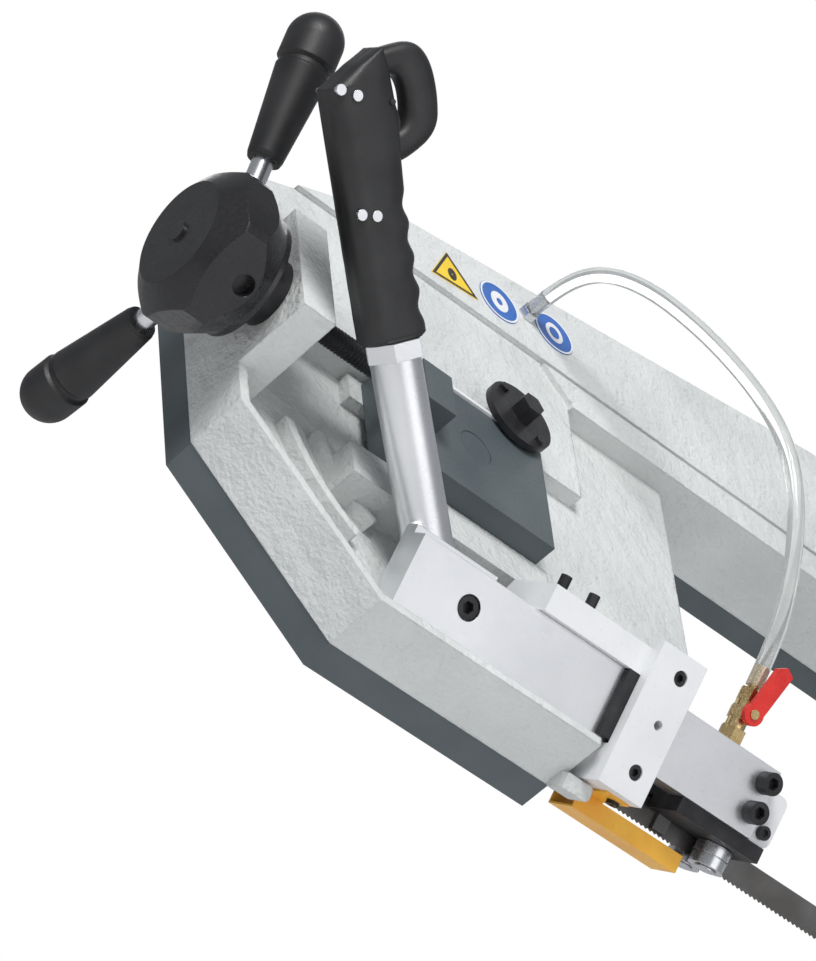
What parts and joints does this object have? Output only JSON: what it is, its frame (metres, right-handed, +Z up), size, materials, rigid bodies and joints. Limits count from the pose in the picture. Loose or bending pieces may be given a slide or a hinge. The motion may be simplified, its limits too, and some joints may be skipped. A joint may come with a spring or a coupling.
{
  "type": "mitre band saw head",
  "caption": "Saw head of a two-wheel metal-cutting band saw: leaning bow casting, blade, tension wheel, sliding guide arm with control handle, gear motor and pivot bracket.",
  "frame": {"origin": "centre of the pivot bracket's foot, on its underside", "axes": "+Z up with the head down on its stop; +X along the blade, from the tension end to the pivot; +Y away from the operator"},
  "size_m": [1.292, 0.4107, 0.4355],
  "materials": {
    "casting_paint": "textured satin white-grey paint",
    "slate_paint": "satin slate-grey paint",
    "gearbox_paint": "satin slate-grey paint",
    "motor_paint": "cast, painted grey",
    "blade_steel": "rolled, lightly oiled",
    "wheel_iron": "cast, turned on the rim",
    "bright_steel": "satin",
    "plated_steel": "zinc plated",
    "black_steel": "blackened",
    "plate_steel": "white-grey paint",
    "hub_black": "black gloss paint",
    "black_moulding": "fine-grained moulding",
    "hard_metal": "ground",
    "guard_paint": "yellow-orange paint",
    "brass": "machined",
    "lever_paint": "red",
    "clear_tube": "clear flexible tube",
    "yellow_plate": "printed plate",
    "blue_plate": "printed plate",
    "stator_iron": "laminated"
  },
  "bodies": {
    "pivot_base": {"pivot_bracket": "slate_paint", "pivot_shaft": "bright_steel", "stop_screw": "black_steel"},
    "bow": {"bow_casting": "casting_paint", "cover_hinge_pins": "bright_steel", "saw_blade": "blade_steel", "slide_gib": "bright_steel", "slide_clamp": "black_steel", "tension_washers": "black_steel", "guide_bar_bracket": "casting_paint", "bracket_end_plate": "plate_steel", "plate_screws": "black_steel", "bar_shim": "black_steel", "set_screws": "black_steel", "blade_guard": "guard_paint", "hose_inlet": "plated_steel", "warning_plate": "yellow_plate", "notice_plates": "blue_plate", "gearbox_housing": "gearbox_paint", "gearbox_cover": "gearbox_paint", "gearbox_screws": "black_steel", "motor_frame": "motor_paint", "motor_stator": "stator_iron", "fan_cover": "motor_paint", "terminal_box": "motor_paint", "fixed_guide": "casting_paint", "fixed_guide_fittings": "plated_steel"},
    "cover": {"wheel_cover": "slate_paint"},
    "slide": {"tension_slide": "slate_paint", "idler_axle": "bright_steel"},
    "idler": {"idler_wheel": "wheel_iron", "idler_bearings": "bright_steel"},
    "handwheel": {"tension_hub": "hub_black", "tension_screw": "black_steel", "hub_necks": "plated_steel", "hub_handles": "black_moulding"},
    "drive": {"drive_wheel": "wheel_iron", "drive_shaft": "bright_steel", "worm_wheel": "brass"},
    "rotor": {"motor_shaft": "bright_steel"},
    "guide_arm": {"guide_bar": "bright_steel", "guide_block": "black_steel", "guide_end_plate": "plate_steel", "guide_screws": "black_steel", "roller_pins": "plated_steel", "guide_pads": "hard_metal", "handle_tube": "bright_steel", "handle_foot_screw": "black_steel", "handle_nut": "bright_steel", "grip_front_half": "black_moulding", "grip_back_half": "black_moulding", "grip_screws": "plated_steel", "trigger_pin": "bright_steel", "trigger_switch": "black_moulding", "coolant_valve": "brass", "coolant_hose": "clear_tube"},
    "front_roller": {"front_roller": "plated_steel"},
    "back_roller": {"back_roller": "plated_steel"},
    "trigger": {"trigger": "black_moulding"},
    "valve_lever": {"valve_lever": "lever_paint"}
  },
  "joints": [
    {"name": "bow_pivot", "type": "hinge", "parent": "pivot_base", "child": "bow", "pos_m": [0, 0, 0.13], "axis": [0, 1, 0], "range_deg": [0, 55]},
    {"name": "cover_hinge", "type": "hinge", "parent": "bow", "child": "cover", "pos_m": [-0.38, 0.278, 0.40082], "axis": [1, 0, 0], "range_deg": [0, 95]},
    {"name": "handwheel_turn", "type": "hinge", "parent": "bow", "child": "handwheel", "pos_m": [-1.189, 0.00081, 0.22546], "axis": [-1, 0, 0], "range_deg": [0, 165]},
    {"name": "tension_travel", "type": "slide", "parent": "bow", "child": "slide", "axis": [1, 0, 0], "range_m": [0, 0.0012]},
    {"name": "idler_spin", "type": "hinge", "parent": "slide", "child": "idler", "pos_m": [-0.952, 0.05314, 0.17314], "axis": [0, -0.7071, 0.7071], "continuous": true},
    {"name": "drive_spin", "type": "hinge", "parent": "bow", "child": "drive", "pos_m": [-0.262, 0.05314, 0.17314], "axis": [0, -0.7071, 0.7071], "continuous": true},
    {"name": "motor_spin", "type": "hinge", "parent": "bow", "child": "rotor", "pos_m": [-0.135, 0.01637, 0.29476], "axis": [1, 0, 0], "continuous": true},
    {"name": "front_roller_spin", "type": "hinge", "parent": "guide_arm", "child": "front_roller", "pos_m": [-0.692, -0.074, 0.0545], "axis": [0, 0, 1], "continuous": true},
    {"name": "back_roller_spin", "type": "hinge", "parent": "guide_arm", "child": "back_roller", "pos_m": [-0.692, -0.0469, 0.0545], "axis": [0, 0, 1], "continuous": true},
    {"name": "guide_arm_slide", "type": "slide", "parent": "bow", "child": "guide_arm", "axis": [1, 0, 0], "range_m": [-0.005, 0.025], "deforming": ["coolant_hose"]},
    {"name": "trigger_pull", "type": "hinge", "parent": "guide_arm", "child": "trigger", "pos_m": [-1.17075, -0.062, 0.35489], "axis": [0, 1, 0], "range_deg": [0, 8], "stiffness_Nm_per_rad": 0.6, "springref_deg": -8.59},
    {"name": "valve_turn", "type": "hinge", "parent": "guide_arm", "child": "valve_lever", "pos_m": [-0.731, -0.103, 0.146], "axis": [0, -1, 0], "range_deg": [0, 90]}
  ],
  "couplings": [
    {"joint": "tension_travel", "follows": "handwheel_turn", "m_per_rad": 0.00039789},
    {"joint": "idler_spin", "follows": "drive_spin", "ratio": 1},
    {"joint": "motor_spin", "follows": "drive_spin", "ratio": 30},
    {"joint": "front_roller_spin", "follows": "drive_spin", "ratio": -12.308},
    {"joint": "back_roller_spin", "follows": "drive_spin", "ratio": 12.308}
  ]
}
